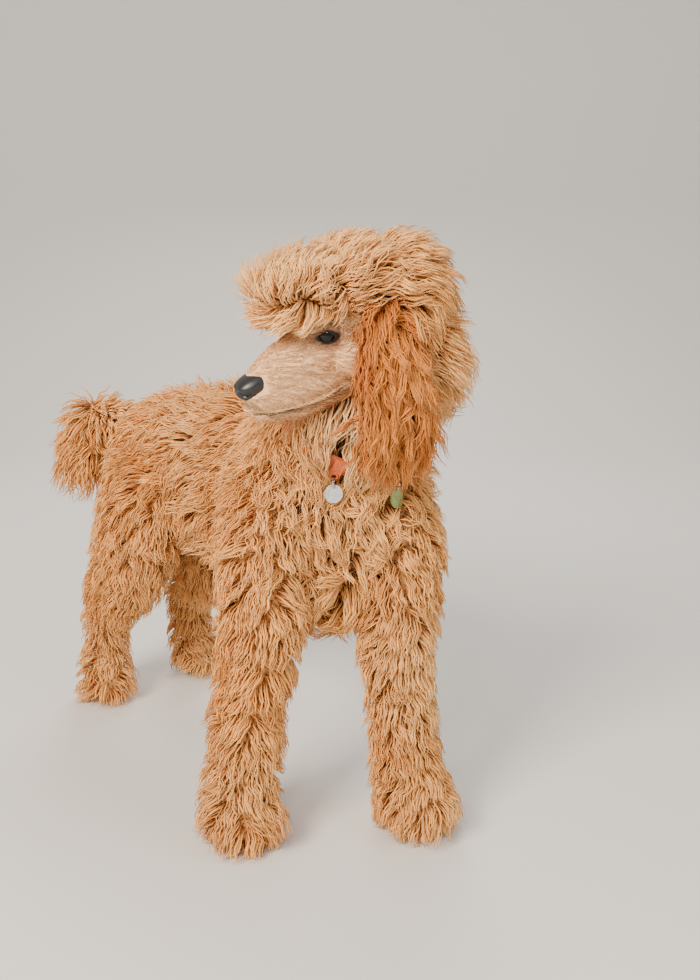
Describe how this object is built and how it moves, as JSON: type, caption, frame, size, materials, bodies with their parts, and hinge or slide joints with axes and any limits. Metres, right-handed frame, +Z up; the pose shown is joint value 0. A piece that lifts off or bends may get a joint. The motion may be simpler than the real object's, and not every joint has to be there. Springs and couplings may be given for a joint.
{
  "type": "standard poodle",
  "caption": "Life-size standing standard poodle in a full curly coat, head turned to its right, tail up, wearing a collar with round blank tags.",
  "frame": {"origin": "on the floor under the middle of the whole model's box", "axes": "+Z up, -Y the way the hips face, +X the dog's left; the head looks along -X"},
  "size_m": [0.3473, 0.8075, 0.759],
  "materials": {
    "coat": "matte, curly woollen coat, fused clumps in the solids",
    "ear_coat": "matte, wavy coat of the ears, darker than the body",
    "eye": "wet gloss, dark brown",
    "nose_leather": "moist black leather",
    "strap": "woven black webbing",
    "keeper": "orange-red strap keeper",
    "buckle": "black side-release buckle",
    "split_ring": "small steel split rings",
    "tag_grey": "worn grey metal disc, blank",
    "tag_green": "yellow-green enamelled disc, blank"
  },
  "bodies": {
    "root": {"head": "coat", "neck": "coat", "tail": "coat", "foreleg_right": "coat", "foreleg_left": "coat", "hindleg_right": "coat", "thigh_right": "coat", "hindleg_left": "coat", "thigh_left": "coat", "torso": "coat", "ear_left": "ear_coat", "ear_right": "ear_coat", "eye_left": "eye", "eye_right": "eye", "nose": "nose_leather", "collar": "strap", "collar_keeper": "keeper", "collar_buckle": "buckle", "tag_ring_grey": "split_ring", "tag_grey": "tag_grey", "tag_ring_green": "split_ring", "tag_green": "tag_green"}
  },
  "joints": []
}
